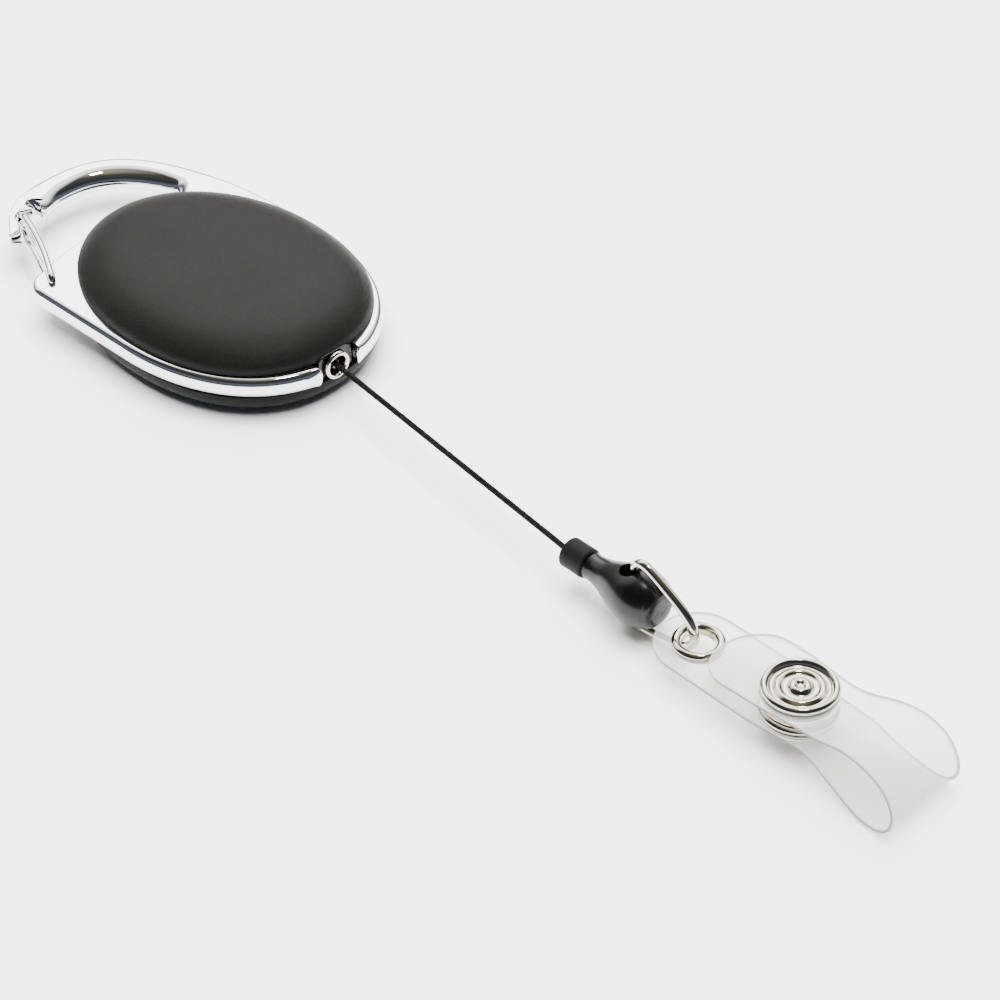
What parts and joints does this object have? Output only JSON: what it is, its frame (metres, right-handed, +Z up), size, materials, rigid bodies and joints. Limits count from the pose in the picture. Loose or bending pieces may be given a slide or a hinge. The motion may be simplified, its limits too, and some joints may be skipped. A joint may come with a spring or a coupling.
{
  "type": "retractable badge reel",
  "caption": "Retractable badge reel: oval black case in a chrome carabiner frame with a wire gate, thin cord, bulb-shaped cord end, wire link and clear snap strap.",
  "frame": {"origin": "on the spool's axis, in the plane of the rear cover's flat back that the reel lies on", "axes": "+X the way the cord is pulled out, +Z up out of the front cover, along the spool's axis"},
  "size_m": [0.17, 0.039, 0.0116],
  "materials": {
    "cover_black": "satin, fine grain",
    "frame_chrome": "polished",
    "gate_steel": "polished",
    "nickel": "polished",
    "arbor_steel": "turned",
    "spring_steel": "blued strip",
    "spool_plastic": "moulded",
    "washer_nylon": "smooth",
    "cord_black": "braided",
    "collar_black": "matt",
    "bulb_black": "semi-gloss",
    "strap_clear": "clear, flexible"
  },
  "bodies": {
    "reel": {"rear_cover": "cover_black", "front_cover": "cover_black", "frame": "frame_chrome", "outlet_eyelet": "nickel", "arbor": "arbor_steel", "thrust_washer": "washer_nylon"},
    "gate": {"gate_wire": "gate_steel"},
    "spool": {"spool": "spool_plastic", "spool_lid": "spool_plastic", "mainspring": "spring_steel", "spool_knot": "cord_black", "wound_cord": "cord_black"},
    "cord_end": {"pull_cord": "cord_black", "cord_knot": "cord_black", "collar": "collar_black", "bulb": "bulb_black"},
    "link": {"link": "nickel"},
    "strap": {"strap_base": "strap_clear", "strap_eyelet": "nickel", "eyelet_washer": "nickel", "snap_post": "nickel", "snap_stud": "nickel"},
    "flap": {"strap_flap": "strap_clear", "snap_cap": "nickel", "snap_socket": "nickel", "snap_spring": "nickel"}
  },
  "joints": [
    {"name": "gate_swing", "type": "hinge", "parent": "reel", "child": "gate", "pos_m": [-0.01684, -0.0168, 0.0055], "axis": [0, 0, -1], "range_deg": [0, 28], "stiffness_Nm_per_rad": 0.01, "springref_deg": -11.46},
    {"name": "cord_pull", "type": "slide", "parent": "reel", "child": "cord_end", "axis": [0.9942, -0.1073, 0], "range_m": [-0.048, 0.7], "deforming": ["pull_cord"]},
    {"name": "spool_turn", "type": "hinge", "parent": "reel", "child": "spool", "pos_m": [0, 0, 0.0055], "axis": [0, 0, 1], "range_deg": [-2600, 200], "deforming": ["mainspring"]},
    {"name": "link_swing", "type": "hinge", "parent": "cord_end", "child": "link", "pos_m": [0.08357, -0.0053, 0.00612], "axis": [0, 0, 1], "range_deg": [-35, 35]},
    {"name": "strap_swing", "type": "hinge", "parent": "link", "child": "strap", "pos_m": [0.0951, -0.0053, 0.00421], "axis": [0, 0, 1], "range_deg": [-35, 35]},
    {"name": "flap_open", "type": "hinge", "parent": "strap", "child": "flap", "pos_m": [0.1312, -0.0053, 0.00442], "axis": [0, 1, 0], "range_deg": [0, 100]}
  ],
  "couplings": [
    {"joint": "spool_turn", "follows": "cord_pull", "rad_per_m": -63.9}
  ]
}
